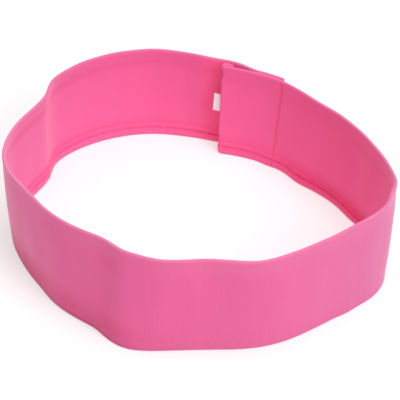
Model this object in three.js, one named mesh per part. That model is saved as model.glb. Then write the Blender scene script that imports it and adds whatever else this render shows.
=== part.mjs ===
// A breast compression band: one strip of ribbed elastic knit, both long edges turned in and sewn.
// It is closed into a loop at the back by a hook patch on its inner end, and stands on its lower edge.
// Millimetres, +Z up. Seen from above, the strip runs clockwise from its inner end to its outer end.
import * as THREE from "three";
import { NURBSCurve } from "three/addons/curves/NURBSCurve.js";

// Strip
const bandWidth = 85; // lower edge to upper edge
const hemThickness = 2; // two layers of knit, pressed together by the stitching
const knitThickness = 1.1; // one layer of knit
const upperHem = 13; // depth of the layer turned in along the upper edge
const lowerHem = 12; // depth of the layer turned in along the lower edge
const hemTaper = 0.6; // height over which a turned-in layer thins out to its cut edge
const footBevel = 0.5; // bevel on both sides of the lower fold, which the strip's weight flattens
const foldSteps = 2; // facets in a quarter turn of the upper fold
const cornerRadius = 2; // rounding of the strip's four corners
const endTurn = 8; // depth of the inner end's turned-over layer, which lies on the outer face
const endTaper = 0.6; // length over which that layer thins out to its cut edge
const sectionPitch = 5; // spacing of the sections along the strip
const clearance = 0.3; // gap between pieces that are sewn or pressed together

// Hook patch, on the outer face of the inner end
const patch = { thickness: 0.7, start: 9, end: 51, lowerInset: 2, upperInset: 0.8 };

// Care label, sewn to the turned-over inner end and sticking out past it
const label = { thickness: 0.8, reach: 7.5, seam: 5, lower: 39, upper: 56 };

// How the strip stands: one row for each bend of its middle line on the floor, from the inner end.
// lean is how far the upper edge stands outside the lower edge.
const bends = [
  { at: "inner end", x: 12, y: 122, lean: 5 },
  { at: "middle of the hook patch", x: 36, y: 119.5, lean: 3 },
  { at: "end of the hook patch", x: 60.2, y: 109.3, lean: 2.8 },
  { at: "dip behind the closure", x: 80.2, y: 91, lean: 1.4 },
  { at: "back right", x: 103.5, y: 69.5, lean: 0.5 },
  { at: "right shoulder", x: 127.8, y: 42.6, lean: -2.8 },
  { at: "right side", x: 144, y: 8, lean: -2.2 },
  { at: "right end", x: 150, y: -22, lean: -3.5 },
  { at: "right turn to the front", x: 140, y: -46, lean: -2 },
  { at: "front right", x: 110.5, y: -72.4, lean: -0.6 },
  { at: "front right slope", x: 79, y: -99, lean: 0 },
  { at: "front right bend", x: 46, y: -116.5, lean: 4.6 },
  { at: "front middle", x: 15, y: -119, lean: -1 },
  { at: "front bulge", x: -20, y: -124.5, lean: 1 },
  { at: "crown of the bulge", x: -45, y: -127, lean: -6 },
  { at: "side of the bulge", x: -60, y: -115, lean: -4 },
  { at: "fold beside the bulge", x: -73.3, y: -101.2, lean: -0.4 },
  { at: "front left", x: -96.6, y: -88.6, lean: 1.8 },
  { at: "left slope", x: -117.4, y: -60.4, lean: 4.8 },
  { at: "left turn", x: -140, y: -28, lean: 6.4 },
  { at: "left end", x: -148, y: 6, lean: 3.2 },
  { at: "left side to the back", x: -138, y: 42, lean: -0.8 },
  { at: "crease", x: -124.2, y: 66.2, lean: 0.6 },
  { at: "behind the crease", x: -128, y: 88, lean: 0.3 },
  { at: "back left turn", x: -107, y: 117, lean: -0.5 },
  { at: "back left", x: -74, y: 137, lean: 3.4 },
  { at: "crown of the back", x: -36, y: 147, lean: 1.4 },
  { at: "back middle", x: 0, y: 141, lean: -2.5 },
  { at: "bulge over the inner end", x: 22, y: 136, lean: -0.5 },
  { at: "drop to the hook patch", x: 30.5, y: 125.5, lean: 3.6 },
  { at: "first touch", x: 37, y: 121.3, lean: 2.8 },
  { at: "seat on the hook patch", x: 48, y: 117.6, lean: 2.8 },
  { at: "outer end", x: 59.8, y: 111.9, lean: 3.2 },
];
const loopMiddle = { x: -0.56, y: 10.01 }; // middle of the standing loop's outline, which becomes the origin

// The bends are the control points of a smooth line that starts and ends on the strip's two ends.
const degree = 3;
const spans = bends.length - degree;
const innerKnots = Array.from({ length: spans + 1 }, (_, i) => i / spans);
const knots = [...Array(degree).fill(0), ...innerKnots, ...Array(degree).fill(1)];

function smoothLine(coordinates) {
  return new NURBSCurve(degree, knots, bends.map((bend) => new THREE.Vector4(...coordinates(bend), 1)));
}

const footLine = smoothLine((bend) => [bend.x, bend.y, 0]);
const leanLine = smoothLine((bend) => [bend.lean, 0, 0]);
footLine.arcLengthDivisions = 2000;
const stripLength = footLine.getLength();

// A point of the standing strip: along it from the inner end, up from the lower edge, and out of the loop
// from the middle of the hem. Ahead of the inner end the strip's line goes straight on.
function onStrip(along, up, out) {
  const t = footLine.getUtoTmapping(0, Math.max(along, 0));
  const tangent = footLine.getTangent(t);
  const foot = footLine.getPoint(t).addScaledVector(tangent, Math.min(along, 0));
  const outward = out + (leanLine.getPoint(t).x * up) / bandWidth;
  return foot.set(foot.x - tangent.y * outward, foot.y + tangent.x * outward, up);
}

// How far the rounded corners cut into the strip's width at a distance from its nearer end.
function cornerCut(along) {
  const fromEnd = Math.min(along, stripLength - along);
  if (fromEnd >= cornerRadius) return 0;
  return cornerRadius - Math.sqrt(cornerRadius ** 2 - (cornerRadius - fromEnd) ** 2);
}

// How far the turned-over layer of the inner end pushes the outer face out.
function turnedLayer(along) {
  const left = (endTurn + endTaper - along) / endTaper;
  return hemThickness * THREE.MathUtils.clamp(left, 0, 1);
}

// Extrudes a section (x out of the loop, y up) through the stations, then bends it along the standing strip.
function bentPiece(section, stations, widthCut = () => 0, padding = () => 0) {
  const steps = stations.length - 1;
  const straight = { depth: steps, steps, curveSegments: foldSteps, bevelEnabled: false };
  const geometry = new THREE.ExtrudeGeometry(section, straight);
  const position = geometry.getAttribute("position");
  for (let i = 0; i < position.count; i += 1) {
    const along = stations[Math.round(position.getZ(i))];
    const kept = 1 - (2 * widthCut(along)) / bandWidth;
    const up = bandWidth / 2 + (position.getY(i) - bandWidth / 2) * kept;
    const out = position.getX(i);
    const widened = 1 + padding(along) / (hemThickness / 2);
    const point = onStrip(along, up, out > 0 ? out * widened : out);
    position.setXYZ(i, point.x, point.y, point.z);
  }
  geometry.computeVertexNormals();
  return geometry;
}

function evenStations(start, end) {
  const steps = Math.ceil((end - start) / sectionPitch);
  return Array.from({ length: steps + 1 }, (_, i) => start + ((end - start) * i) / steps);
}

// Even stations, with closer ones round the corners at both ends and two at the turned-over layer's cut edge.
function stripStations() {
  const cornerSteps = [0, 0.12, 0.4, 1].map((share) => share * cornerRadius);
  const outerCorner = cornerSteps.map((step) => stripLength - step).reverse();
  const middle = evenStations(endTurn + endTaper, stripLength - cornerRadius);
  return [...cornerSteps, endTurn, ...middle.slice(0, -1), ...outerCorner];
}

function rectangle(inner, outer, lower, upper) {
  const corners = [[inner, lower], [outer, lower], [outer, upper], [inner, upper]];
  return new THREE.Shape(corners.map(([out, up]) => new THREE.Vector2(out, up)));
}

function fabric(color, roughness) {
  return new THREE.MeshStandardMaterial({ color, roughness, metalness: 0 });
}

function makeBand() {
  const outerFace = hemThickness / 2;
  const hemFace = -hemThickness / 2;
  const knitFace = outerFace - knitThickness;
  const section = new THREE.Shape();
  section.moveTo(hemFace + footBevel, 0);
  section.lineTo(outerFace - footBevel, 0);
  section.lineTo(outerFace, footBevel);
  section.absarc(0, bandWidth - outerFace, outerFace, 0, Math.PI);
  section.lineTo(hemFace, bandWidth - upperHem + hemTaper);
  section.lineTo(knitFace, bandWidth - upperHem);
  section.lineTo(knitFace, lowerHem);
  section.lineTo(hemFace, lowerHem - hemTaper);
  section.lineTo(hemFace, footBevel);
  section.closePath();
  const strip = bentPiece(section, stripStations(), cornerCut, turnedLayer);
  const mesh = new THREE.Mesh(strip, fabric(0xef6b9f, 0.85));
  mesh.name = "band";
  return mesh;
}

function makeHookPatch() {
  const inner = hemThickness / 2 + clearance;
  const section = rectangle(inner, inner + patch.thickness, patch.lowerInset, bandWidth - patch.upperInset);
  const tape = bentPiece(section, evenStations(patch.start, patch.end));
  const mesh = new THREE.Mesh(tape, fabric(0xf08fb4, 0.6));
  mesh.name = "hook_patch";
  return mesh;
}

function makeCareLabel() {
  const inner = hemThickness / 2 + turnedLayer(label.seam) + clearance;
  const section = rectangle(inner, inner + label.thickness, label.lower, label.upper);
  const ribbon = bentPiece(section, evenStations(-label.reach, label.seam));
  const mesh = new THREE.Mesh(ribbon, fabric(0xf4f1f2, 0.5));
  mesh.name = "care_label";
  return mesh;
}

const compressionBand = new THREE.Group();
compressionBand.add(makeBand(), makeHookPatch(), makeCareLabel());
compressionBand.position.set(-loopMiddle.x, -loopMiddle.y, 0);

export default compressionBand;
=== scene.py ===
import math

import bmesh
import bpy
import numpy as np
from mathutils import Matrix, Vector


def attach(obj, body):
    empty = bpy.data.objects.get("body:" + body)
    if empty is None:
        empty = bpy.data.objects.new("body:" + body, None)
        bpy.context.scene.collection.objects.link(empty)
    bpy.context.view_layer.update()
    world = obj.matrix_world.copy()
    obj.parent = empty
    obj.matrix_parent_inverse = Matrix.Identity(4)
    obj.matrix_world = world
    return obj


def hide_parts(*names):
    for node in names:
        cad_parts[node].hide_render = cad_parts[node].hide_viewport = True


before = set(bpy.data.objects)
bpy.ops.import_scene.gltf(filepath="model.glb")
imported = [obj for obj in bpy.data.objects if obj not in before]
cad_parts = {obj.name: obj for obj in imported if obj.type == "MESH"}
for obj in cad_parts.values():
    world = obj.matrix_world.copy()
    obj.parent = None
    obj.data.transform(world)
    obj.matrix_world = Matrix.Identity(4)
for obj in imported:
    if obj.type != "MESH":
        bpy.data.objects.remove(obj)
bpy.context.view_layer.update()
scene = bpy.context.scene
mm = 0.001  # one millimetre, in metres
fullTurn = 2 * math.pi

# Camera, at the photograph's viewing angle
shot = {
    "target": (0.56 * mm, -10.01 * mm, 42.5 * mm),  # half way up, near the middle of the loop
    "distance": 1.08,
    "elevation": 38,  # degrees above the floor
    "roll": 4.25,  # degrees, uprights lean to the right
    "lens": 126,
}

# Soft studio light: a pale room, a broad lamp overhead and a key lamp at the right front
studio = {
    "room": (1.0, 0.985, 0.99),
    "roomStrength": 0.52,
    "lights": {
        "overhead": {"place": (0.1, -0.1, 1.7), "size": 1.2, "power": 15.2},
        "key": {"place": (0.95, -0.95, 1.15), "size": 0.9, "power": 11.6},
    },
    "aim": (0, 0, 0.04),
}


def placeCamera():
    camera = bpy.data.objects.new("camera", bpy.data.cameras.new("camera"))
    camera.data.lens = shot["lens"]
    tilt = Matrix.Rotation(math.radians(90 - shot["elevation"]), 4, "X")
    roll = Matrix.Rotation(math.radians(shot["roll"]), 4, "Z")
    camera.location = Vector(shot["target"]) + tilt @ Vector((0, 0, shot["distance"]))
    camera.rotation_euler = (tilt @ roll).to_euler()
    scene.collection.objects.link(camera)
    scene.camera = camera


def addLight(name, light):
    lamp = bpy.data.objects.new(name, bpy.data.lights.new(name, "AREA"))
    lamp.data.shape = "DISK"
    lamp.data.size = light["size"]
    lamp.data.energy = light["power"]
    lamp.location = light["place"]
    lamp.rotation_euler = (Vector(studio["aim"]) - lamp.location).to_track_quat("-Z", "Y").to_euler()
    scene.collection.objects.link(lamp)


def lightRoom():
    scene.world = bpy.data.worlds.new("room")
    scene.world.use_nodes = True
    background = scene.world.node_tree.nodes["Background"]
    background.inputs["Color"].default_value = (*studio["room"], 1)
    background.inputs["Strength"].default_value = studio["roomStrength"]
    scene.view_settings.view_transform = "Standard"


placeCamera()
for lightName, light in studio["lights"].items():
    addLight(lightName, light)
lightRoom()
print("camera and lights placed")


# Node helpers

def setInputs(tree, node, inputs):
    for name, value in inputs.items():
        if isinstance(value, bpy.types.NodeSocket):
            tree.links.new(value, node.inputs[name])
        else:
            node.inputs[name].default_value = value


def addNode(tree, kind, inputs, **settings):
    node = tree.nodes.new(kind)
    for name, value in settings.items():
        setattr(node, name, value)
    setInputs(tree, node, inputs)
    return node


def clothPlace(tree):
    return addNode(tree, "ShaderNodeUVMap", {}, uv_map="cloth").outputs["UV"]


def mathNode(tree, operation, *values):
    return addNode(tree, "ShaderNodeMath", dict(enumerate(values)), operation=operation).outputs[0]


def tintNode(tree, share, colour, tint):
    inputs = {0: share, 6: colour, 7: (*tint, 1)}  # factor, A and B of a colour mix
    return addNode(tree, "ShaderNodeMix", inputs, data_type="RGBA").outputs[2]


def startGroup(name, inputs, outputs):
    group = bpy.data.node_groups.new(name, "ShaderNodeTree")
    for socketName, kind, value in inputs:
        socket = group.interface.new_socket(socketName, in_out="INPUT", socket_type=kind)
        if value is not None:
            socket.default_value = value
    for socketName, kind in outputs:
        group.interface.new_socket(socketName, in_out="OUTPUT", socket_type=kind)
    return group, group.nodes.new("NodeGroupInput").outputs, group.nodes.new("NodeGroupOutput").inputs


def startMaterial(name):
    material = bpy.data.materials.new(name)
    material.use_nodes = True
    tree = material.node_tree
    return material, tree, tree.nodes["Principled BSDF"]


def placeGroup(tree, group, inputs):
    return addNode(tree, "ShaderNodeGroup", inputs, node_tree=group).outputs


# Ribs and slanted loops of a knit or weave, the shade of its furrows and the streaks of its yarn
def knitReliefGroup():
    furrowRange = {"From Min": 0.2, "From Max": -1.0}  # rib heights at a furrow's edge and bottom
    streakScale = (600, 22, 1)  # streaks are narrow along the strip and long across it
    group, given, made = startGroup(
        "knitRelief",
        [
            ("Vector", "NodeSocketVector", None),
            ("Rib Pitch", "NodeSocketFloat", 2.7 * mm),
            ("Loop Pitch", "NodeSocketFloat", 1.1 * mm),
            ("Rib Share", "NodeSocketFloat", 0.7),
        ],
        [("Height", "NodeSocketFloat"), ("Furrow", "NodeSocketFloat"), ("Streak", "NodeSocketFloat")],
    )
    place = addNode(group, "ShaderNodeSeparateXYZ", {"Vector": given["Vector"]})
    ribPlace = mathNode(group, "DIVIDE", place.outputs["X"], given["Rib Pitch"])
    rib = mathNode(group, "COSINE", mathNode(group, "MULTIPLY", ribPlace, fullTurn))
    side = mathNode(group, "PINGPONG", ribPlace, 0.5)  # loops slant up to both sides of a rib
    loopPlace = mathNode(group, "DIVIDE", place.outputs["Y"], given["Loop Pitch"])
    slanted = mathNode(group, "ADD", loopPlace, side)
    loop = mathNode(group, "COSINE", mathNode(group, "MULTIPLY", slanted, fullTurn))
    mixed = addNode(group, "ShaderNodeMix", {"Factor": given["Rib Share"], "A": loop, "B": rib})
    group.links.new(mixed.outputs["Result"], made["Height"])
    furrow = addNode(group, "ShaderNodeMapRange", {"Value": rib, **furrowRange})
    group.links.new(furrow.outputs["Result"], made["Furrow"])
    drawn = addNode(group, "ShaderNodeVectorMath", {0: given["Vector"], 1: streakScale}, operation="MULTIPLY")
    streak = addNode(group, "ShaderNodeTexNoise", {"Vector": drawn.outputs[0], "Scale": 1.0, "Detail": 2.0})
    group.links.new(mathNode(group, "SUBTRACT", streak.outputs[0], 0.5), made["Streak"])
    return group


# A colour with faint blotches and fuzz, darkened by a shade
def wornToneGroup():
    fuzzShare = 0.5  # against the blotches
    group, given, made = startGroup(
        "wornTone",
        [
            ("Vector", "NodeSocketVector", None),
            ("Colour", "NodeSocketColor", None),
            ("Blotch Scale", "NodeSocketFloat", 45.0),
            ("Fuzz Scale", "NodeSocketFloat", 2600.0),
            ("Amount", "NodeSocketFloat", 0.06),
            ("Shade", "NodeSocketFloat", 0.0),
        ],
        [("Colour", "NodeSocketColor"), ("Fuzz", "NodeSocketFloat")],
    )
    vector = {"Vector": given["Vector"]}
    blotch = addNode(group, "ShaderNodeTexNoise", {**vector, "Scale": given["Blotch Scale"], "Detail": 2.0})
    fuzz = addNode(group, "ShaderNodeTexNoise", {**vector, "Scale": given["Fuzz Scale"], "Detail": 1.0})
    both = mathNode(group, "ADD", blotch.outputs[0], mathNode(group, "MULTIPLY", fuzz.outputs[0], fuzzShare))
    centred = mathNode(group, "SUBTRACT", both, (1 + fuzzShare) / 2)  # each noise is a half on average
    tone = mathNode(group, "MULTIPLY_ADD", centred, given["Amount"], 1.0)
    shaded = mathNode(group, "SUBTRACT", tone, given["Shade"])
    toned = addNode(group, "ShaderNodeVectorMath", {0: given["Colour"], 1: shaded}, operation="MULTIPLY")
    group.links.new(toned.outputs[0], made["Colour"])
    group.links.new(fuzz.outputs[0], made["Fuzz"])
    return group


knitRelief = knitReliefGroup()
wornTone = wornToneGroup()


# Elastic knit: ribbed on its face, brushed smooth on its back

knitLook = {
    "face": {
        "colour": (0.785, 0.122, 0.308),
        "ribDepth": 0.012 * mm,
        "furrowShade": 0.006,
        "sheen": 0.49,
        "marks": {"seamShade": 0.15, "footShade": 1.0, "outerSheenPaint": 1.0, "underShade": 1.0, "rim": 1.0, "lit": 1.0},
    },
    "back": {
        "colour": (0.88, 0.132, 0.337),
        "ribDepth": 0.008 * mm,
        "furrowShade": 0.006,
        "sheen": 0.4,
        "marks": {"innerSheenPaint": 1.0, "innerShadePaint": 1.0, "nookLightPaint": 1.0, "seamShade": 1.0, "lit": 1.0},  # laid on in this order
    },
    "roughness": 0.9,
    "specular": 0.2,
    "sheenRoughness": 0.4,
    "sheenTint": (1.0, 0.86, 0.93),
    "streakShade": 0.055,
    "fuzzHeight": 0.8,  # against the ribs
    "seamShade": (0.7, 0.006, 0.07),  # painted shade: deep red in the stitch grooves and round them, where they lie in shadow
    "footShade": (0.64, 0.02, 0.13),  # painted shade low on the outside, beside the front bulge
    "underShade": (0.3, 0.02, 0.09),  # painted contact shade, dark, on the fold it stands on
    "outerSheenPaint": (0.675, 0.137, 0.325),  # painted sheen, paler and less red, on the right end seen at a grazing angle; also laid on the foot to make it paler
    "rim": (0.72, 0.175, 0.35),  # painted highlight, pale, on the upper fold; also on the upper hem's outside
    "nookLightPaint": (1.0, 0.126, 0.32),  # painted bounce light, bright red, in the shaded nook where the two ends come together
    "innerSheenPaint": (0.8, 0.15, 0.375),  # painted sheen and painted shade, for stretches of the inside that the light reaches and misses
    "innerShadePaint": (0.88, 0.105, 0.295),
    "lit": (0.93, 0.3, 0.5),  # painted light on rims that the light comes through
}


def knitMaterial(name, look):
    material, tree, shader = startMaterial(name)
    cloth = clothPlace(tree)
    relief = placeGroup(tree, knitRelief, {"Vector": cloth})
    furrows = mathNode(tree, "MULTIPLY", relief["Furrow"], look["furrowShade"])
    streaks = mathNode(tree, "MULTIPLY", relief["Streak"], knitLook["streakShade"])
    shade = mathNode(tree, "ADD", furrows, streaks)
    tone = placeGroup(tree, wornTone, {"Vector": cloth, "Colour": (*look["colour"], 1), "Shade": shade})
    colour = tone["Colour"]
    for mark, weight in look["marks"].items():
        share = addNode(tree, "ShaderNodeAttribute", {}, attribute_name=mark).outputs["Fac"]
        colour = tintNode(tree, mathNode(tree, "MULTIPLY", share, weight), colour, knitLook[mark])
    fuzz = mathNode(tree, "MULTIPLY", tone["Fuzz"], knitLook["fuzzHeight"])
    height = mathNode(tree, "ADD", relief["Height"], fuzz)
    bump = addNode(tree, "ShaderNodeBump", {"Height": height, "Distance": look["ribDepth"]})
    setInputs(tree, shader, {
        "Base Color": colour,
        "Normal": bump.outputs["Normal"],
        "Roughness": knitLook["roughness"],
        "Specular IOR Level": knitLook["specular"],
        "Sheen Weight": look["sheen"],
        "Sheen Roughness": knitLook["sheenRoughness"],
        "Sheen Tint": (*knitLook["sheenTint"], 1),
    })
    return material


knitFace = knitMaterial("knitFace", knitLook["face"])
knitBack = knitMaterial("knitBack", knitLook["back"])
print("knit materials made")


# Materials of the woven tape and ribbon, and of thread, hooks and floor

weaveLook = {"ribShare": 0.5, "furrowShade": 0.06, "specular": 0.3}


def wovenMaterial(name, look):
    material, tree, shader = startMaterial(name)
    cloth = clothPlace(tree)
    pitches = {"Rib Pitch": look["ribPitch"], "Loop Pitch": look["loopPitch"]}
    weave = placeGroup(tree, knitRelief, {"Vector": cloth, **pitches, "Rib Share": weaveLook["ribShare"]})
    shade = mathNode(tree, "MULTIPLY", weave["Furrow"], weaveLook["furrowShade"])
    tone = placeGroup(tree, wornTone, {"Vector": cloth, "Colour": (*look["colour"], 1), "Shade": shade})
    bump = addNode(tree, "ShaderNodeBump", {"Height": weave["Height"], "Distance": look["relief"]})
    setInputs(tree, shader, {
        "Base Color": tone["Colour"],
        "Normal": bump.outputs["Normal"],
        "Roughness": look["roughness"],
        "Specular IOR Level": weaveLook["specular"],
        "Sheen Weight": look["sheen"],
    })
    return material


def plainMaterial(name, look):
    material, tree, shader = startMaterial(name)
    place = addNode(tree, "ShaderNodeTexCoord", {}).outputs["Object"]
    inputs = {"Vector": place, "Colour": (*look["colour"], 1), "Amount": look["unevenness"]}
    tone = placeGroup(tree, wornTone, inputs)
    setInputs(tree, shader, {"Base Color": tone["Colour"], "Roughness": look["roughness"]})
    return material, shader


# How the strip stands: x, y and outward lean of the upper edge for each bend of its middle line on the floor,
# in millimetres, from the inner end on
bends = [
    (12, 122, 5),  # inner end
    (36, 119.5, 3),  # middle of the hook patch
    (60.2, 109.3, 2.8),  # end of the hook patch
    (80.2, 91, 1.4),  # dip behind the closure
    (103.5, 69.5, 0.5),  # back right
    (127.8, 42.6, -2.8),  # right shoulder
    (144, 8, -2.2),  # right side
    (150, -22, -3.5),  # right end
    (140, -46, -2),  # right turn to the front
    (110.5, -72.4, -0.6),  # front right
    (79, -99, 0),  # front right slope
    (46, -116.5, 4.6),  # front right bend
    (15, -119, -1),  # front middle
    (-20, -124.5, 1),  # front bulge
    (-45, -127, -6),  # crown of the bulge
    (-60, -115, -4),  # side of the bulge
    (-73.3, -101.2, -0.4),  # fold beside the bulge
    (-96.6, -88.6, 1.8),  # front left
    (-117.4, -60.4, 4.8),  # left slope
    (-140, -28, 6.4),  # left turn
    (-148, 6, 3.2),  # left end
    (-138, 42, -0.8),  # left side to the back
    (-124.2, 66.2, 0.6),  # crease
    (-128, 88, 0.3),  # behind the crease
    (-107, 117, -0.5),  # back left turn
    (-74, 137, 3.4),  # back left
    (-36, 147, 1.4),  # crown of the back
    (0, 141, -2.5),  # back middle
    (22, 136, -0.5),  # bulge over the inner end
    (30.5, 125.5, 3.6),  # drop to the hook patch
    (37, 121.3, 2.8),  # first touch
    (48, 117.6, 2.8),  # seat on the hook patch
    (59.8, 111.9, 3.2),  # outer end
]
loopMiddle = (-0.56, 10.01)  # middle of the loop's outline, where the frame's origin is
lineSteps = 48  # measured points between two bends

band = {
    "width": 85 * mm,  # lower edge to upper edge
    "knit": 0.9 * mm,  # one layer
    "layerGap": 0.1 * mm,  # between two layers
    "lowerHem": 12 * mm,  # depth of the turned-in layers
    "upperHem": 13 * mm,
    "lowerRoll": 0.8 * mm,  # radius of the soft folds along the edges
    "upperRoll": 0.95 * mm,
    "rollOut": 6 * mm,  # depth at which a turned-in layer lies flat on the wall
    "cutEdge": 0.12,  # share of its thickness that a cut edge keeps
    "edgeSettle": 0.22 * mm,  # how far it sinks to the wall, besides half its thickness
    "lowerTaper": 3 * mm,  # depth over which a cut edge thins out
    "upperTaper": 9 * mm,
    "flatTaper": 0.5,  # how much longer that is where the upper hem lies flat
    "lowerStitch": 7.6 * mm,  # stitch rows, from the nearer edge
    "upperStitch": 12.2 * mm,
    "patchStitch": 49.5 * mm,  # stitch row at the far side of the hook patch
    "endStitch": 5.5 * mm,  # stitch row along the outer end, from that end
    "stitch": 3 * mm,  # length of one stitch
    "endTurn": 7.5 * mm,  # cloth turned over to the outside at the inner end, past the fold
    "endBend": 2.5 * mm,  # cloth in that fold
    "endSlant": 2.6 * mm,  # how far the fold's upper end lies past its lower end
    "endPuff": 1.3 * mm,  # how far its layers stand apart at the top
    "hemStep": 2 * mm,  # height over which the fold gets thicker at a hem
    "lowerCorner": 4 * mm,  # rounding of the strip's ends
    "upperCorner": 1.2 * mm,
    "rimWave": 0.2 * mm,  # unevenness of the upper edge
    "surface": {  # moves of the cloth out of the loop
        "puff": {"lower": 0.38 * mm, "upper": 0.08 * mm},  # swelling of the turned-in layers
        "puffShape": 0.7,  # under 1 it is fuller than a sine
        "puffWave": 0.3,
        "ridge": 0.15 * mm,  # soft ridge over the lower hem's cut edge
        "ridgeUp": 9.6 * mm,
        "ridgeSpread": 1.5 * mm,
        "ridgeWave": 0.4,
        "groove": 0.8 * mm,  # spread of the stitch grooves
        "upperGroove": 1.8 * mm,
        "sinkTurned": {"lower": 0.18 * mm, "upper": 0.054 * mm},  # groove depths in the turned-in layers,
        "sinkWall": {"lower": 0.036 * mm, "upper": 0.018 * mm},  # in the wall outside them,
        "sinkPatch": 0.108 * mm,  # at the hook patch and at the outer end
        "sinkEnd": 0.09 * mm,
        "pucker": {"lower": 0.14 * mm, "upper": 0.084 * mm, "patch": 0.14 * mm},  # waves beside the stitches
        "puckerReach": 4 * mm,
        "patchReach": 3 * mm,
        "drape": 0.35 * mm,  # slow waves of the wall
        "stillEnd": 55 * mm,  # the ends lie still up to here
        "stillFade": 40 * mm,
        "flatUntil": 200 * mm,  # the upper hem lies flat up to here
        "looseRise": 250 * mm,
        "leastLoose": 0.12,
    },
    "waves": {  # seeds, and wave lengths in millimetres
        "lowerPuff": (3, (7.1, 10.3, 15.7)),
        "ridge": (4, (8.3, 12.9, 23)),
        "upperPuff": (5, (9.1, 13.7, 21)),
        "lowerPucker": (6, (5.3, 7.9, 11.3)),
        "upperPucker": (7, (5.9, 8.3, 12.1)),
        "patchPucker": (8, (13, 19)),
        "drape": (9, (41, 67, 29)),
        "rim": (10, (33, 53, 87)),
        "stitchPull": (11, (4.7, 7.3, 12.1)),
        "patchRow": (12, (13, 21)),
    },
    "tints": {  # how far the marks of the knit's colours, its painted shade and light among them, reach
        "lineStart": 0.7,  # share of the lower stitches' height where the painted shade of the cloth above them starts
        "redTop": 23 * mm,  # and where it ends
        "lowerSpread": 0.62 * mm,  # of the painted shade lines at the stitches and at the hems' cut edges
        "edgeSpread": 0.65 * mm,
        "upperSpread": 2 * mm,
        "patchSpread": 0.8 * mm,
        "pastHem": 0.6 * mm,  # how far past a hem its line lies
        "stitchPull": 0.25,  # some stitches pull harder
        "patchRed": 0.4,
        "patchSway": 0.3 * mm,
        "footTop": 30 * mm,  # the painted shade on the foot's outside reaches up to here
        # painted shade in the valley beside the front bulge and in the dimple at its top
        "valley": {"along": 464 * mm, "spread": 7 * mm, "shadeRed": 0.12},
        "dimple": {"along": 467 * mm, "up": 69 * mm, "spread": 5 * mm, "shadeRed": 0.12},
        # reach of the painted contact shade on the fold it stands on
        "underTop": 6 * mm,
        "underFade": 5 * mm,
        # how far up the foot is painted paler
        "paleFootTop": 12 * mm,
        "paleFootFade": 8 * mm,
        "paleDepth": 18 * mm,  # of the pale upper hem
        "paleFade": 10 * mm,
        "foldSpread": 1.1 * mm,  # of the painted highlight and the painted light on the rims
        "highlightFull": (50 * mm, 90 * mm),  # the painted highlight on the upper fold starts and is full at these places
        "nookLightPaint": (834 * mm, 856 * mm),  # where the painted nook light starts and is full, just before the closure
    },
    "mesh": {  # mesh lines, closer at the folds and stitches; those of the layers are heights in millimetres
        "lowerTurned": (12, 11.4, 10.6, 9.6, 8.6, 8, 7.5, 7, 6.5, 6, 5, 3.8, 2.6, 1.8),
        "lowerWall": (2, 3.2, 4.6, 5.8, 6.5, 7, 7.5, 8.2, 9.4, 10.8, 12, 13.4),
        "middleWall": (16, 68, 4),  # start, stop and step
        "upperWall": (69.5, 71, 72, 72.8, 73.6, 75, 77.5, 80, 82),
        "upperTurned": (82.4, 81, 79, 77, 75, 73.8, 73, 72.5, 72),
        "foldRows": 8,
        "turnedEnd": (-4 * mm, 5),  # last column and number of columns
        "endFold": (-3.6 * mm, 2.2 * mm, 20),  # first and last column, and number of columns
        "stitchRow": (-2 * mm, 2 * mm, 9),
        "crease": (679 * mm, 687 * mm, 13),
        "stripStart": 3 * mm,
        "stripEnd": 1 * mm,
        "pitch": 1.75 * mm,
        "clear": 0.4 * mm,  # between even and closer columns
        "outerEnd": (0.8 * mm, 0.35 * mm, 0),  # from the outer end
    },
}

# Dents and bulges of the standing cloth, in millimetres: place along the strip and height, spread along and
# up, and depth out of the loop
dents = [
    (463, 48, 3.5, 18, -0.9),  # valley beside the front bulge, steep on the bulge's side
    (471, 48, 7, 18, -0.6),
    (470, 70, 4, 5, -0.7),  # dimple at its top
    (480, 21, 14, 8, 2.0),  # swelling over the foot beside it
    (45, 0, 5, 12, -1.1),  # waves of the foot behind the closure
    (60, 0, 8, 16, 0.4),
    (79, 0, 9, 16, -2.1),
    (114, 0, 10, 16, 0.7),
    (140, 0, 9, 14, -1.5),
    (683, 45, 2.3, 21, -0.25),  # crease at the back left
    (123, 85, 20, 30, 1.2),  # waves of the rim, from the right shoulder to the left end
    (203, 85, 6, 9, 0.5),
    (221, 85, 9, 6, -2.3),
    (335, 85, 15, 30, -1.1),
    (393, 85, 8, 25, -1.0),
    (441, 85, 8, 25, -0.9),
    (473, 85, 6, 20, -0.7),
    (530, 85, 8, 25, 0.6),
    (574, 85, 6, 8, 0.8),
    (588, 85, 12, 20, 1.2),
    (213, 0, 8, 12, -0.8),  # waves of the foot, from the right end to the back
    (246, 0, 10, 14, 1.0),
    (270, 0, 7, 14, 1.0),
    (330, 0, 16, 14, 0.8),
    (475, 0, 6, 14, -0.9),
    (490, 0, 32, 14, 1.1),
    (520, 0, 9, 14, 0.5),
    (552, 0, 12, 14, 0.7),
    (735, 0, 22, 14, -1.1),
    (822, 0, 12, 14, -0.7),
]
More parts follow.
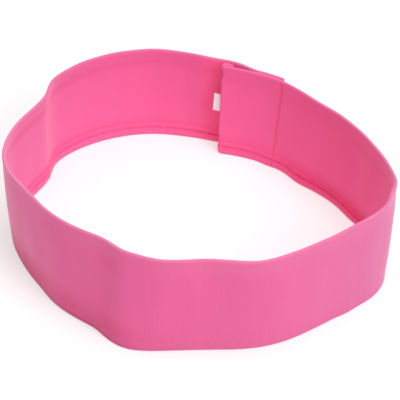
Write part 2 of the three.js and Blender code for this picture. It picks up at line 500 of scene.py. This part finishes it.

# How the inside is painted along the strip, in millimetres: how red the painted shade of its lower stitch
# line, the line over the hem's cut edge, the cloth above and below the stitches and the upper stitch line is;
# its tone, from -1, painted sheen, to 1, painted shade; and how much painted light its rim gets
insideColumns = ("along", "lowerLine", "edgeLine", "above", "below", "upperLine", "tone", "litRim")
insideRows = [
    (0, 0.36, 0.06, 0.14, 0.1, 0.04, 0.15, 0.12),
    (45, 0.36, 0.06, 0.16, 0.12, 0.04, 0.2, 0.08),
    (70, 0.45, 0, 0.36, 0.3, 0.05, 0.65, 0),
    (165, 0.5, 0, 0.58, 0.6, 0.06, 0.95, 0),
    (225, 0.15, 0, 0.1, 0, 0.05, -0.1, 0),
    (520, 0.15, 0, 0.1, 0, 0.1, -0.85, 0),
    (560, 0.2, 0.05, 0.11, 0, 0.14, -0.85, 0.35),
    (600, 0.4, 0.22, 0.13, 0.05, 0.22, -0.75, 0.35),
    (660, 0.52, 0.32, 0.16, 0.08, 0.26, -0.75, 0.1),
    (674, 0.5, 0.3, 0.16, 0.07, 0.25, -0.7, 0.08),
    (684, 0.49, 0.29, 0.16, 0.06, 0.24, -0.1, 0.04),
    (692, 0.48, 0.28, 0.16, 0.05, 0.23, -0.2, 0.02),
    (706, 0.46, 0.26, 0.15, 0.04, 0.21, -0.5, 0),
    (720, 0.45, 0.25, 0.15, 0.03, 0.2, -0.6, 0),
    (760, 0.28, 0.18, 0.14, 0.05, 0.15, -0.4, 0),
    (830, 0.4, 0.1, 0.08, 0.08, 0.1, 0.1, 0),
    (870, 0.95, 0.08, 0.14, 0.3, 0.1, 0, 0),
]

# How the outside is painted along it: how red the painted shade on its foot is, how dark the painted shade on
# the fold under it, how strong the painted sheen, how much paler the foot and how pale the upper hem are; and
# how far the wall bulges out at its middle, in millimetres
outsideColumns = ("along", "footShade", "underShade", "outerSheenPaint", "paleFoot", "paleHem", "bulge")
outsideRows = [
    (165, 0, 0, 0, 0.45, 0, 0),
    (225, 0, 0, 1, 0.45, 0.3, 0),
    (250, 0, 0, 0.9, 0.45, 0.3, 0.4),
    (300, 0, 0, 0.45, 0.45, 0.3, 1.0),
    (350, 0, 0, 0.2, 0.45, 0.35, 1.6),
    (400, 0, 0, 0, 0.45, 0.3, 2.0),
    (440, 0.15, 0.1, 0, 0.4, 0.1, 1.0),
    (457, 0.45, 0.3, 0, 0.35, 0.1, 0.8),
    (468, 0.58, 0.35, 0, 0.3, 0.25, 0.8),
    (480, 0.52, 0.35, 0, 0.3, 0.25, 1.0),
    (515, 0.38, 0.35, 0, 0.2, 0.05, 1.2),
    (552, 0.85, 0.45, 0, 0, 0, 1.2),
    (580, 0.85, 0.45, 0, 0, 0, 1.2),
    (600, 0.7, 0.4, 0, 0, 0, 1.2),
    (660, 0, 0, 0, 0.3, 0, 0.8),
    (740, 0, 0, 0, 0.45, 0, 1.4),
    (830, 0, 0, 0, 0.45, 0, 1.0),
    (870, 0, 0, 0, 0.45, 0, 0),
]
insideTable = dict(zip(insideColumns, np.array(insideRows).T))
outsideTable = dict(zip(outsideColumns, np.array(outsideRows).T))


def alongStrip(column, along):
    table = insideTable if column in insideTable else outsideTable
    return np.interp(along, table["along"] * mm, table[column])


# Irregular waves about one high
def waves(name, place):
    seed, lengths = band["waves"][name]
    pick = np.random.default_rng(seed)
    total = np.zeros_like(place)
    for length in lengths:
        total += np.sin(fullTurn * place / (length * mm) + pick.uniform(0, fullTurn))
    return total / math.sqrt(len(lengths))


def dip(place, middle, spread):
    return np.exp(-(((place - middle) / spread) ** 2) / 2)


def softStep(share):
    share = np.clip(share, 0, 1)
    return share * share * (3 - 2 * share)


# 1 up to a reach before the limit, and 0 past it
def fadeBy(place, limit, reach):
    return softStep((limit - place) / reach)


def measureStandingLine():
    curve = bpy.data.curves.new("standingLine", "CURVE")
    curve.dimensions = "3D"
    spline = curve.splines.new("NURBS")
    spline.points.add(len(bends) - 1)
    for point, (x, y, lean) in zip(spline.points, bends):
        point.co = ((x - loopMiddle[0]) * mm, (y - loopMiddle[1]) * mm, lean * mm, 1)
    spline.order_u = 4
    spline.use_endpoint_u = True
    spline.resolution_u = lineSteps
    holder = bpy.data.objects.new("standingLine", curve)
    x, y, lean = np.array([vert.co for vert in holder.to_mesh().vertices]).T
    bpy.data.objects.remove(holder)
    bpy.data.curves.remove(curve)
    step = np.hypot(np.diff(x), np.diff(y))
    along = np.concatenate(([0], np.cumsum(step)))
    aheadX, aheadY = np.gradient(x, along), np.gradient(y, along)
    return {"along": along, "x": x, "y": y, "lean": lean, "aheadX": aheadX, "aheadY": aheadY}


line = measureStandingLine()
stripLength = line["along"][-1]
print("standing line measured, strip length", round(stripLength, 4))


# Stands flat coordinates up: along the strip, out of the loop and up from the floor
def standUp(along, out, up):
    onLine = np.clip(along, 0, stripLength)
    x, y, lean, aheadX, aheadY = (
        np.interp(onLine, line["along"], line[key]) for key in ("x", "y", "lean", "aheadX", "aheadY")
    )
    height = up / band["width"]
    bulge = alongStrip("bulge", onLine) * mm * 4 * height * (1 - height)  # full at half the height
    outward = out + lean * height + bulge
    past = along - onLine  # straight on past an end
    return np.column_stack((x - aheadY * outward + aheadX * past, y + aheadX * outward + aheadY * past, up))


def linkPiece(name, mesh):
    piece = bpy.data.objects.new(name, mesh)
    scene.collection.objects.link(piece)
    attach(piece, "root")
    return piece


def addPiece(name, bm, materials):
    flat = np.array([vert.co for vert in bm.verts])
    for vert, place in zip(bm.verts, standUp(*flat.T)):
        vert.co = place
    mesh = bpy.data.meshes.new(name)
    bm.to_mesh(mesh)
    bm.free()
    for material in materials:
        mesh.materials.append(material)
    mesh.shade_smooth()
    return linkPiece(name, mesh)


# A flat cloth as cut, with its mesh lines at the given places
def cutCloth(columns, rows):
    bm = bmesh.new()
    bmesh.ops.create_grid(bm, x_segments=len(columns) - 1, y_segments=len(rows) - 1, size=0.5)
    bmesh.ops.reverse_faces(bm, faces=bm.faces)
    cloth = bm.loops.layers.uv.new("cloth")
    for vert in bm.verts:
        column = round((vert.co.x + 0.5) * (len(columns) - 1))
        row = round((vert.co.y + 0.5) * (len(rows) - 1))
        vert.co = (columns[column], 0, rows[row])
    for face in bm.faces:
        for corner in face.loops:
            corner[cloth].uv = (corner.vert.co.x, corner.vert.co.z)
    return bm


def thicken(piece, thickness, innerMaterial=0):
    wall = piece.modifiers.new("thickness", "SOLIDIFY")
    wall.thickness = thickness
    wall.offset = 0
    wall.use_even_offset = True
    wall.use_quality_normals = True
    wall.material_offset = innerMaterial
    return wall


# Band: one knit strip, hems turned in and sewn, inner end turned over to the outside

layer = (band["knit"] + band["layerGap"]) / 2  # from the middle of a hem to the middle of one of its layers
lowerCentre = band["knit"] / 2 + band["lowerRoll"]  # heights of the folds' centres
upperCentre = band["width"] - band["knit"] / 2 - band["upperRoll"]
lowerFlat = band["lowerHem"] - lowerCentre  # places across the cut cloth, from the lower cut edge on
lowerFoldEnd = lowerFlat + math.pi * band["lowerRoll"]
wallEnd = lowerFoldEnd + upperCentre - lowerCentre
upperFoldEnd = wallEnd + math.pi * band["upperRoll"]
cutWidth = upperFoldEnd + upperCentre - band["width"] + band["upperHem"]


# How far a layer is from the middle of the hem: it comes off the roll and then lies on the other layer
def rolledDepth(fromFold, radius):
    return radius + (layer - radius) * softStep(fromFold / band["rollOut"])


# Heights and places out of the loop for places across the cut cloth
def turnInHems(across):
    lowerRoll, upperRoll = band["lowerRoll"], band["upperRoll"]
    lowerAngle = (across - lowerFlat) / lowerRoll
    upperAngle = (across - wallEnd) / upperRoll
    parts = [across <= lowerFlat, across <= lowerFoldEnd, across <= wallEnd, across <= upperFoldEnd]
    heights = [
        band["lowerHem"] - across,
        lowerCentre - lowerRoll * np.sin(lowerAngle),
        lowerCentre + across - lowerFoldEnd,
        upperCentre + upperRoll * np.sin(upperAngle),
    ]
    offLower = rolledDepth(across - lowerFoldEnd, lowerRoll)
    offUpper = rolledDepth(wallEnd - across, upperRoll)
    depths = [
        -rolledDepth(lowerFlat - across, lowerRoll),
        -lowerRoll * np.cos(lowerAngle),
        offLower + offUpper - layer,
        upperRoll * np.cos(upperAngle),
    ]
    up = np.select(parts, heights, upperCentre - (across - upperFoldEnd))
    out = np.select(parts, depths, -rolledDepth(across - upperFoldEnd, upperRoll))
    return up, out


# The upper hem is looser away from the closure
def looseness(cut):
    surface = band["surface"]
    return np.clip((cut - surface["flatUntil"]) / surface["looseRise"], surface["leastLoose"], 1)


# How a turned-in layer swells between its fold and its stitches
def hemPuff(side, fromEdge, cut):
    surface = band["surface"]
    share = np.clip(fromEdge / band[side + "Stitch"], 0, 1)
    uneven = 1 + surface["puffWave"] * waves(side + "Puff", cut)
    return surface["puff"][side] * np.sin(math.pi * share) ** surface["puffShape"] * uneven


# Waves beside a stitch row
def puckers(row, fromRow, reach, place):
    return band["surface"]["pucker"][row] * np.exp(-np.abs(fromRow) / reach) * waves(row + "Pucker", place)


# Swelling, stitch grooves, puckers, slow waves and dents, as moves out of the loop
def workSurface(cut, across, up):
    surface = band["surface"]
    fromTop = band["width"] - up
    lowTurned = across < lowerFlat
    highTurned = across > upperFoldEnd
    standing = ~lowTurned & ~highTurned
    loose = looseness(cut)
    out = np.zeros_like(up)

    ridge = dip(up, surface["ridgeUp"], surface["ridgeSpread"])
    ridge *= surface["ridge"] * (1 + surface["ridgeWave"] * waves("ridge", cut))
    out -= lowTurned * (hemPuff("lower", up, cut) + ridge)
    out -= highTurned * hemPuff("upper", fromTop, cut) * loose

    turned, wall = surface["sinkTurned"], surface["sinkWall"]
    lowerGroove = dip(up, band["lowerStitch"], surface["groove"])
    upperGroove = dip(fromTop, band["upperStitch"], surface["upperGroove"])
    out += lowTurned * lowerGroove * turned["lower"] + highTurned * upperGroove * loose * turned["upper"]
    out -= standing * (lowerGroove * wall["lower"] + upperGroove * wall["upper"])
    out += surface["sinkPatch"] * dip(cut, band["patchStitch"], surface["groove"])
    out -= surface["sinkEnd"] * dip(cut, stripLength - band["endStitch"], surface["groove"])

    out += puckers("lower", up - band["lowerStitch"], surface["puckerReach"], cut)
    out += puckers("upper", fromTop - band["upperStitch"], surface["puckerReach"], cut)
    out += puckers("patch", cut - band["patchStitch"], surface["patchReach"], up)

    fromEnd = np.minimum(cut, stripLength - cut)
    free = softStep((fromEnd - surface["stillEnd"]) / surface["stillFade"])
    out += surface["drape"] * free * waves("drape", cut) * np.sin(math.pi * up / band["width"])
    for along, height, alongSpread, upSpread, depth in dents:
        out += depth * mm * dip(cut, along * mm, alongSpread * mm) * dip(up, height * mm, upSpread * mm)
    return out


# Painted shade: how red the cloth is made round the stitch rows and over the hems' cut edges, where they lie
# in shadow
def markSeamShade(cut, up):
    tints = band["tints"]
    stitchUp = band["lowerStitch"]
    fromTop = band["width"] - up
    lineStart = tints["lineStart"] * stitchUp
    aboveLine = softStep((up - lineStart) / (stitchUp - lineStart))
    above = aboveLine * fadeBy(up, tints["redTop"], tints["redTop"] - stitchUp)
    below = (1 - aboveLine) * softStep(up / stitchUp)
    pull = 1 + tints["stitchPull"] * waves("stitchPull", cut)
    patchRow = band["patchStitch"] + tints["patchSway"] * waves("patchRow", up)
    lowerEdge, upperEdge = band["lowerHem"] + tints["pastHem"], band["upperHem"] + tints["pastHem"]
    seamShade = alongStrip("above", cut) * above + alongStrip("below", cut) * below
    seamShade += alongStrip("lowerLine", cut) * dip(up, stitchUp, tints["lowerSpread"]) * pull
    seamShade += alongStrip("edgeLine", cut) * dip(up, lowerEdge, tints["edgeSpread"])
    seamShade += alongStrip("upperLine", cut) * dip(fromTop, upperEdge, tints["upperSpread"])
    seamShade = np.maximum(seamShade, tints["patchRed"] * dip(cut, patchRow, tints["patchSpread"]))
    return np.clip(seamShade, 0, 1)


# Painted shade: how red the outside is made low down, in the valley beside the front bulge and in the dimple
# at its top
def markFootShade(cut, up):
    tints = band["tints"]
    valley, dimple = tints["valley"], tints["dimple"]
    footShade = alongStrip("footShade", cut) * fadeBy(up, tints["footTop"], tints["footTop"] - band["lowerStitch"])
    footShade += valley["shadeRed"] * dip(cut, valley["along"], valley["spread"]) * (1 - footShade)
    inDimple = dip(cut, dimple["along"], dimple["spread"]) * dip(up, dimple["up"], dimple["spread"])
    return footShade + dimple["shadeRed"] * inDimple


# How strongly each colour of the knit, painted shade and light among them, is laid on
def markCloth(cut, across, up):
    tints = band["tints"]
    # the foot is painted paler with the painted sheen's colour
    paleFootShare = alongStrip("paleFoot", cut) * fadeBy(up, tints["paleFootTop"], tints["paleFootFade"])
    paleHem = alongStrip("paleHem", cut) * fadeBy(band["width"] - up, tints["paleDepth"], tints["paleFade"])
    # the upper fold, where the painted highlight and the painted light lie
    onFold = dip(across, (wallEnd + upperFoldEnd) / 2, tints["foldSpread"])
    highlightStart, highlightFull = tints["highlightFull"]
    highlightFold = onFold * softStep((cut - highlightStart) / (highlightFull - highlightStart))
    nookStart, nookFull = tints["nookLightPaint"]
    tone = alongStrip("tone", cut)
    return {
        "seamShade": markSeamShade(cut, up),
        "footShade": markFootShade(cut, up),
        "underShade": alongStrip("underShade", cut) * fadeBy(up, tints["underTop"], tints["underFade"]),
        "outerSheenPaint": np.maximum(alongStrip("outerSheenPaint", cut), paleFootShare),
        "rim": np.maximum(highlightFold, paleHem),
        "nookLightPaint": softStep((cut - nookStart) / (nookFull - nookStart)),
        # painted sheen where the tone is below 0, painted shade where it is above
        "innerSheenPaint": np.clip(-tone, 0, 1),
        "innerShadePaint": np.clip(tone, 0, 1),
        "lit": alongStrip("litRim", cut) * onFold,
    }


# Cut edges thin out: the share of the knit's thickness that is left
def thinEdges(cut, across):
    upperTaper = band["upperTaper"] * (1 + band["flatTaper"] * (1 - looseness(cut)))
    lower = across / band["lowerTaper"]
    upper = (cutWidth - across) / upperTaper
    end = (cut + band["endTurn"]) / band["lowerTaper"]
    full = np.clip(np.minimum.reduce([lower, upper, end]), 0, 1)
    return band["cutEdge"] + (1 - band["cutEdge"]) * full


# Height, place out of the loop and kept share of the thickness, for places along and across the cut cloth
def shapeCloth(cut, across):
    up, out = turnInHems(across)
    kept = thinEdges(cut, across)
    settled = (1 - kept) * (band["knit"] / 2 + band["edgeSettle"])
    return up, out + workSurface(cut, across, up) + settled, kept


# Turns the inner end over to the outside, round a fold that is thicker at the hems and opens at its top
def turnEndOver(cut, out, up):
    height = up / band["width"]
    step = band["hemStep"]
    mirror = layer + band["knit"] / 2 + band["layerGap"] + band["endPuff"] * height**4
    inLowerHem = np.clip((band["lowerHem"] + step / 2 - up) / step, 0, 1)
    inUpperHem = np.clip((up - band["width"] + band["upperHem"] + step / 2) / step, 0, 1)
    deepest = mirror + layer * (2 * np.maximum(inLowerHem, inUpperHem) - 1)
    start = deepest + band["knit"] / 2 - band["endSlant"] * height
    turned = np.clip((start - cut) / band["endBend"], 0, 1)
    past = np.clip(start - band["endBend"] - cut, 0, None)
    radius = mirror - out
    along = np.where(turned > 0, start - radius * np.sin(math.pi * turned) + past, cut)
    out = np.where(turned > 0, mirror - radius * np.cos(math.pi * turned), out)
    return along, out


def cornerCut(fromEnd, radius):
    reach = np.clip(fromEnd, 0, radius)
    return radius - np.sqrt(radius**2 - (radius - reach) ** 2)


# Takes the corners off the strip's ends, less and less towards the middle of its width
def roundCorners(along, up):
    height = up / band["width"]
    fromEnd = np.minimum(along + band["endSlant"] * height, stripLength - along)
    lower = cornerCut(fromEnd, band["lowerCorner"]) * (1 - height) ** 3
    upper = cornerCut(fromEnd, band["upperCorner"]) * height**3
    return up + lower - upper


def bandRows():
    mesh = band["mesh"]
    fold = np.linspace(0, math.pi, mesh["foldRows"])
    wall = np.concatenate((mesh["lowerWall"], np.arange(*mesh["middleWall"]), mesh["upperWall"])) * mm
    return np.concatenate((
        band["lowerHem"] - np.array(mesh["lowerTurned"]) * mm,
        lowerFlat + fold * band["lowerRoll"],
        lowerFoldEnd + wall - lowerCentre,
        wallEnd + fold * band["upperRoll"],
        upperFoldEnd + upperCentre - np.array(mesh["upperTurned"]) * mm,
    ))


def bandColumns():
    mesh = band["mesh"]
    turnedLayer = np.linspace(-band["endTurn"], *mesh["turnedEnd"])
    endFold = np.linspace(*mesh["endFold"])
    strip = np.arange(mesh["stripStart"], stripLength - mesh["stripEnd"], mesh["pitch"])
    stitchRow = np.linspace(*mesh["stitchRow"])
    closer = [
        band["patchStitch"] + stitchRow,
        np.linspace(*mesh["crease"]),
        stripLength - band["endStitch"] + stitchRow,
    ]
    for places in closer:
        strip = strip[(strip < places[0] - mesh["clear"]) | (strip > places[-1] + mesh["clear"])]
    outerEnd = stripLength - np.array(mesh["outerEnd"])
    return np.sort(np.concatenate((turnedLayer, endFold, strip, *closer, outerEnd)))


def makeBand():
    columns, rows = bandColumns(), bandRows()
    bm = cutCloth(columns, rows)
    cut, _, across = np.array([vert.co for vert in bm.verts]).T
    up, out, kept = shapeCloth(cut, across)
    marks = markCloth(cut, across, up)
    upperHalf = np.clip(2 * up / band["width"] - 1, 0, 1)
    up = up + band["rimWave"] * waves("rim", cut) * upperHalf
    along, out = turnEndOver(cut, out, up)
    up = roundCorners(along, up)
    for face in bm.faces:  # the turned-in layers look like the inside
        place = face.calc_center_median().z
        face.material_index = 1 if place < lowerFlat or place > upperFoldEnd else 0
    layers = {mark: bm.verts.layers.float.new(mark) for mark in marks}
    thickness = bm.verts.layers.deform.verify()
    for i, vert in enumerate(bm.verts):
        vert.co = (along[i], out[i], up[i])
        vert[thickness][0] = kept[i]
        for mark, share in marks.items():
            vert[layers[mark]] = share[i]
    piece = addPiece("knitBand", bm, [knitFace, knitBack])
    piece.vertex_groups.new(name="thickness")
    thicken(piece, band["knit"], 1).vertex_group = "thickness"
    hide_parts("band")
    return piece, (float(cutWidth), float(columns[-1] - columns[0]))


knitBand, bandCut = makeBand()
print("band made, cut to", [round(side, 4) for side in bandCut])


# Joins copies of one small shape, each moved to its place on the flat strip
def scatter(name, shape, places, material):
    corners = np.array([(*vert.co, 1) for vert in shape.verts])
    shape.verts.index_update()
    faces = [[vert.index for vert in face.verts] for face in shape.faces]
    shape.free()
    flat = np.concatenate([(corners @ np.array(place).T)[:, :3] for place in places])
    joined = [[corner + i * len(corners) for corner in face] for i in range(len(places)) for face in faces]
    mesh = bpy.data.meshes.new(name)
    mesh.from_pydata(standUp(*flat.T), [], joined)
    mesh.materials.append(material)
    mesh.shade_smooth()
    return linkPiece(name, mesh)


# Stitches: short thread beads that lie on the cloth and sink into it

thread = {
    "look": {"colour": (0.82, 0.13, 0.325), "roughness": 0.8, "unevenness": 0.15},
    "thickness": 0.42 * mm,
    "sunk": 0.13 * mm,  # how far a bead's middle lies under the surface
    "endSunk": 0.02 * mm,  # and at the outer end
    "visible": 0.74,  # share of a stitch's length that shows
    "lengths": (0.9, 1.1),  # unevenness
    "slant": 4,  # degrees, unevenness
    "endGap": 4 * mm,  # from the strip's ends to the long rows
    "patchGaps": (1 * mm, 2 * mm),  # from the lower hem and the upper row to the hook patch's row
    "edgeGap": 2 * mm,  # from the strip's edges to the outer end's row
    "overlock": {  # zigzag along the outer end's cut edge
        "pitch": 1.7 * mm,
        "length": 3.6 * mm,
        "slant": 58,  # degrees
        "inset": 2 * mm,
        "gaps": (5 * mm, 3 * mm),  # from the strip's lower and upper edges
    },
}


def makeBead():
    bm = bmesh.new()
    upright = Matrix.Rotation(math.pi / 2, 4, "Y")
    bmesh.ops.create_uvsphere(bm, u_segments=6, v_segments=4, radius=0.5, matrix=upright)
    return bm


# Places across the cut cloth for heights on the wall and on the turned-in layers
def onWall(up):
    return lowerFoldEnd + up - lowerCentre


def onTurned(up):
    return np.where(up < band["width"] / 2, band["lowerHem"] - up, upperFoldEnd + upperCentre - up)


# Places out of the loop for beads on a face of the cloth: face is 1 on its outside and -1 on its inside
def beadDepths(along, across, face, sunk):
    _, out, kept = shapeCloth(along, across)
    return out + face * (kept * band["knit"] / 2 - sunk)


def placeBead(place, heading, length):
    size = Matrix.Diagonal((length, thread["thickness"], thread["thickness"], 1))
    return Matrix.Translation(place) @ Matrix.Rotation(math.radians(heading), 4, "Y") @ size


def sewRow(start, end, layerPlace, face, sunk, seed):
    pick = np.random.default_rng(seed)
    run, rise = np.subtract(end, start)
    count = round(math.hypot(run, rise) / band["stitch"])
    heading = math.degrees(math.atan2(-rise, run))
    shares = (np.arange(count) + 0.5) / count
    along, up = start[0] + run * shares, start[1] + rise * shares
    places = []
    for place in zip(along, beadDepths(along, layerPlace(up), face, sunk), up):
        turn = heading + pick.normal(0, thread["slant"])
        length = band["stitch"] * thread["visible"] * pick.uniform(*thread["lengths"])
        places.append(placeBead(place, turn, length))
    return places


def overlockEnd():
    row = thread["overlock"]
    lowerGap, upperGap = row["gaps"]
    up = np.arange(lowerGap, band["width"] - upperGap, row["pitch"])
    along = np.full_like(up, stripLength - row["inset"])
    depths = beadDepths(along, onWall(up), 1, thread["endSunk"])
    slants = row["slant"] * (-1) ** np.arange(len(up))
    return [placeBead(place, slant, row["length"]) for place, slant in zip(zip(along, depths, up), slants)]


def makeStitches():
    lower, upper = band["lowerStitch"], band["width"] - band["upperStitch"]
    first, last = thread["endGap"], stripLength - thread["endGap"]
    overHem, underRow = thread["patchGaps"]
    patchLow, patchHigh = band["lowerHem"] + overHem, upper - underRow
    endLow, endHigh = thread["edgeGap"], band["width"] - thread["edgeGap"]
    patchRow, endRow = band["patchStitch"], stripLength - band["endStitch"]
    sunk, endSunk = thread["sunk"], thread["endSunk"]
    rows = [
        ((first, lower), (last, lower), onTurned, -1, sunk),
        ((first, upper), (last, upper), onTurned, -1, sunk),
        ((first, lower), (last, lower), onWall, 1, sunk),
        ((first, upper), (last, upper), onWall, 1, sunk),
        ((patchRow, patchLow), (patchRow, patchHigh), onWall, -1, sunk),
        ((endRow, endLow), (endRow, endHigh), onWall, 1, endSunk),
    ]
    places = [place for seed, row in enumerate(rows) for place in sewRow(*row, seed)] + overlockEnd()
    threadSurface, _ = plainMaterial("sewingThread", thread["look"])
    piece = scatter("stitches", makeBead(), places, threadSurface)
    print("stitches sewn:", len(places))
    return piece


stitches = makeStitches()


# Hook patch: a woven tape on the outer face of the inner end, with rows of hooks

patch = {
    "tapeLook": {
        "colour": (0.8, 0.2, 0.38),
        "roughness": 0.75,
        "sheen": 0.1,
        "ribPitch": 1.2 * mm,
        "loopPitch": 0.8 * mm,
        "relief": 0.05 * mm,
    },
    "hookLook": {"colour": (0.86, 0.3, 0.46), "roughness": 0.35, "unevenness": 0.1},
    "start": 9 * mm,
    "end": 51 * mm,
    "lowerInset": 2 * mm,  # from the strip's edges
    "upperInset": 0.8 * mm,
    "tape": 0.25 * mm,  # thickness
    "gap": 0.08 * mm,  # over the knit
    "margin": 4 * mm,  # sewn edge without hooks
    "hookPitch": 2.2 * mm,
    "hookHeight": 0.5 * mm,
    "hookRadius": 0.12 * mm,
    "hookSides": 5,
    "hookTwist": 12,  # degrees, unevenness
    "hookSeed": 21,
    "hookSteps": [  # shares of the height, and degrees of bend
        ((0, 0, 0.45), 0),
        ((0.12, 0, 0.4), 38),
        ((0.3, 0, 0.1), 38),
        ((0.25, 0, -0.2), 38),
    ],
}


# Places out of the loop that are the given distance over the outside of the knit
def overKnit(along, up, distance):
    _, out, kept = shapeCloth(along, onWall(up))
    return out + kept * band["knit"] / 2 + distance


# Mesh lines of the band between two places, so that the tape follows every wave of it
def linesBetween(lines, start, end):
    return np.concatenate(([start], lines[(lines > start) & (lines < end)], [end]))


def makeHookTape():
    columns = linesBetween(bandColumns(), patch["start"], patch["end"])
    rows = linesBetween(bandRows() - onWall(0), patch["lowerInset"], band["width"] - patch["upperInset"])
    bm = cutCloth(columns, rows)
    along, _, up = np.array([vert.co for vert in bm.verts]).T
    for vert, out in zip(bm.verts, overKnit(along, up, patch["gap"] + patch["tape"] / 2)):
        vert.co.y = out
    tape = addPiece("hookTape", bm, [wovenMaterial("wovenTape", patch["tapeLook"])])
    thicken(tape, patch["tape"])
    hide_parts("hook_patch")


def makeHook():
    bm = bmesh.new()
    bmesh.ops.create_circle(bm, cap_ends=True, segments=patch["hookSides"], radius=patch["hookRadius"])
    tip = bm.faces[:]
    for step, bend in patch["hookSteps"]:
        grown = bmesh.ops.extrude_face_region(bm, geom=tip)
        bmesh.ops.delete(bm, geom=tip, context="FACES_ONLY")
        tip = [part for part in grown["geom"] if isinstance(part, bmesh.types.BMFace)]
        verts = tip[0].verts[:]
        bmesh.ops.translate(bm, vec=Vector(step) * patch["hookHeight"], verts=verts)
        turn = Matrix.Rotation(math.radians(bend), 3, "Y")
        bmesh.ops.rotate(bm, cent=tip[0].calc_center_median(), matrix=turn, verts=verts)
    bmesh.ops.recalc_face_normals(bm, faces=bm.faces)
    outward = Matrix.Rotation(-math.pi / 2, 3, "X")
    bmesh.ops.rotate(bm, cent=(0, 0, 0), matrix=outward, verts=bm.verts)
    return bm


def makeHooks():
    pick = np.random.default_rng(patch["hookSeed"])
    pitch, margin, twist = patch["hookPitch"], patch["margin"], patch["hookTwist"]
    heights = np.arange(patch["lowerInset"] + margin, band["width"] - 2 * margin, pitch)
    places = []
    for i, along in enumerate(np.arange(patch["start"] + margin, patch["end"] - margin, pitch)):
        odd = i % 2  # every other row is set half a pitch higher and faces the opposite way
        row = heights + odd * pitch / 2
        faces = overKnit(np.full_like(row, along), row, patch["gap"] + patch["tape"])
        for up, face in zip(row, faces):
            turn = math.radians(pick.uniform(-twist, twist) + 180 * odd)
            places.append(Matrix.Translation((along, face, up)) @ Matrix.Rotation(turn, 4, "Y"))
    hookSurface, _ = plainMaterial("nylonHooks", patch["hookLook"])
    piece = scatter("hooks", makeHook(), places, hookSurface)
    print("hook patch made, hooks:", len(places))


makeHookTape()
makeHooks()


# Care label: a blank folded ribbon, sewn to the turned-over end

label = {
    "look": {
        "colour": (0.88, 0.84, 0.85),
        "roughness": 0.4,
        "sheen": 0.2,
        "ribPitch": 0.4 * mm,
        "loopPitch": 0.6 * mm,
        "relief": 0.02 * mm,
    },
    "lower": 39.6 * mm,
    "upper": 55.4 * mm,
    "reach": 7.5 * mm,  # past the inner end
    "root": 5 * mm,  # sewn part
    "ribbon": 0.2 * mm,
    "seat": 2.65 * mm,  # out of the loop, where it is sewn on
    "rise": 1 * mm,  # how far its free end stands off
    "riseShape": 1.5,  # over 1 it bends late
    "loopRadius": 0.35 * mm,
    "pressed": 0.35,  # share of the loop's width that is left at the seam
    "curl": 0.25 * mm,
    "curlLength": 24 * mm,
    "plySteps": 12,  # mesh lines
    "loopSteps": (0.15, 0.85, 7),
    "rows": 13,
}


def makeLabel():
    radius, reach = label["loopRadius"], label["reach"]
    ply = label["root"] + reach - radius
    loop = math.pi * radius
    plySteps = np.linspace(0, ply, label["plySteps"])
    path = np.concatenate((plySteps, ply + loop * np.linspace(*label["loopSteps"]), ply + loop + plySteps))
    bm = cutCloth(path, np.linspace(label["lower"], label["upper"], label["rows"]))
    for vert in bm.verts:
        run, _, up = vert.co
        angle = min(max((run - ply) / radius, 0), math.pi)
        back = max(run - ply - loop, 0)
        along = label["root"] - min(run, ply) - radius * math.sin(angle) + back
        free = min(max(-along / reach, 0), 1)
        opened = label["pressed"] + (1 - label["pressed"]) * free
        spread = radius * (1 - math.cos(angle)) * opened
        curl = label["curl"] * math.sin(up * fullTurn / label["curlLength"]) * free
        vert.co.x = along
        vert.co.y = label["seat"] + label["rise"] * free ** label["riseShape"] + spread + curl
    piece = addPiece("careLabel", bm, [wovenMaterial("satinRibbon", label["look"])])
    thicken(piece, label["ribbon"])
    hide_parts("care_label")


makeLabel()
print("care label made")


# Floor: pale, with a little light of its own, as a lit table has

floorSheet = {
    "look": {"colour": (0.5, 0.5, 0.5), "roughness": 0.8, "unevenness": 0.01},
    "glow": 0.48,
    "size": 8,
    "drop": 0.1 * mm,  # under the band's lower edge
}


def makeFloor():
    bm = bmesh.new()
    bmesh.ops.create_grid(bm, x_segments=1, y_segments=1, size=floorSheet["size"] / 2)
    bmesh.ops.translate(bm, vec=(0, 0, -floorSheet["drop"]), verts=bm.verts)
    mesh = bpy.data.meshes.new("floor")
    bm.to_mesh(mesh)
    bm.free()
    floorSurface, shader = plainMaterial("paleFloor", floorSheet["look"])
    shader.inputs["Emission Color"].default_value = (1, 1, 1, 1)
    shader.inputs["Emission Strength"].default_value = floorSheet["glow"]
    mesh.materials.append(floorSurface)
    floor = bpy.data.objects.new("floor", mesh)
    scene.collection.objects.link(floor)


makeFloor()
print("floor laid")
